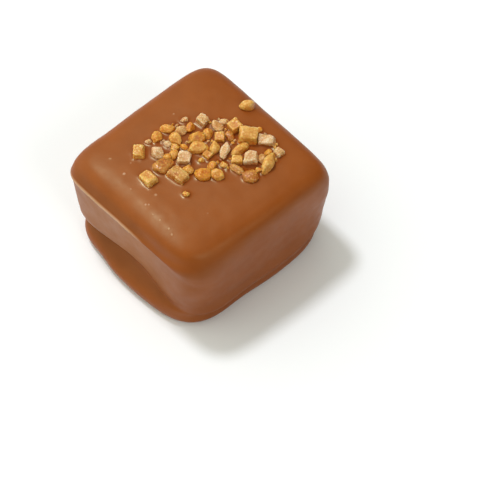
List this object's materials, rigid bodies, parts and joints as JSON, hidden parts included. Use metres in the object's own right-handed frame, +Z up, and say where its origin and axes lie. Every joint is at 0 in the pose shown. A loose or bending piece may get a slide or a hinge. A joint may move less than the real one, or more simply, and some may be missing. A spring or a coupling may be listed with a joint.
{
  "type": "filled chocolate",
  "caption": "Square praline dipped in milk chocolate, with a folded coating at the front, a low foot, and chopped caramelised nut and nougat bits stuck on the top.",
  "frame": {"origin": "on the surface the praline stands on, under the middle of its body", "axes": "+Z up through the top with the bits, -Y towards the side where the coating is folded over the foot, +X towards the plain right side"},
  "size_m": [0.0266, 0.0276, 0.0186],
  "materials": {
    "milk_chocolate": "satin",
    "amber_bits": "satin",
    "cream_bits": "matte",
    "clear_bits": "gloss"
  },
  "bodies": {
    "root": {"filled_chocolate": "milk_chocolate"}
  },
  "joints": []
}
